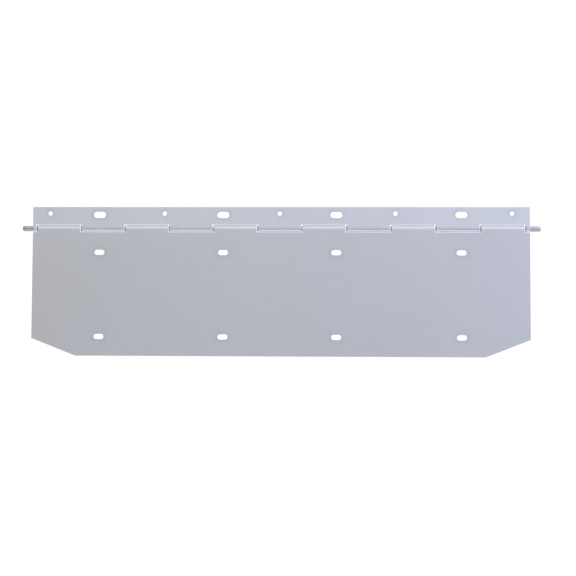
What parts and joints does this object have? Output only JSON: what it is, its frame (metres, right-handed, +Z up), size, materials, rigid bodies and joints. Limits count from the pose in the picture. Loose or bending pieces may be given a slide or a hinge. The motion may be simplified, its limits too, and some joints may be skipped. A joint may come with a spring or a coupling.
{
  "type": "hinged swing plate",
  "caption": "Flat stainless swing plate for licence plates: a wide slotted leaf hangs from a narrow mounting leaf on a full-length rolled hinge with a through pin.",
  "frame": {"origin": "centre of the mounting leaf's middle hole, on the front face", "axes": "+X along the hinge, to the right seen from the front; +Y to the back, where the barrels are; +Z up"},
  "size_m": [0.7422, 0.0119, 0.2138],
  "materials": {
    "mounting_leaf_steel": "satin stainless sheet",
    "swing_leaf_steel": "satin stainless sheet",
    "pin_steel": "ground stainless rod"
  },
  "bodies": {
    "mounting_leaf": {"mounting_leaf": "mounting_leaf_steel", "hinge_pin": "pin_steel"},
    "swing_leaf": {"swing_leaf": "swing_leaf_steel"}
  },
  "joints": [
    {"name": "leaf_swing", "type": "hinge", "parent": "mounting_leaf", "child": "swing_leaf", "pos_m": [0, 0.00595, -0.0213], "axis": [1, 0, 0], "range_deg": [-80, 180]}
  ]
}
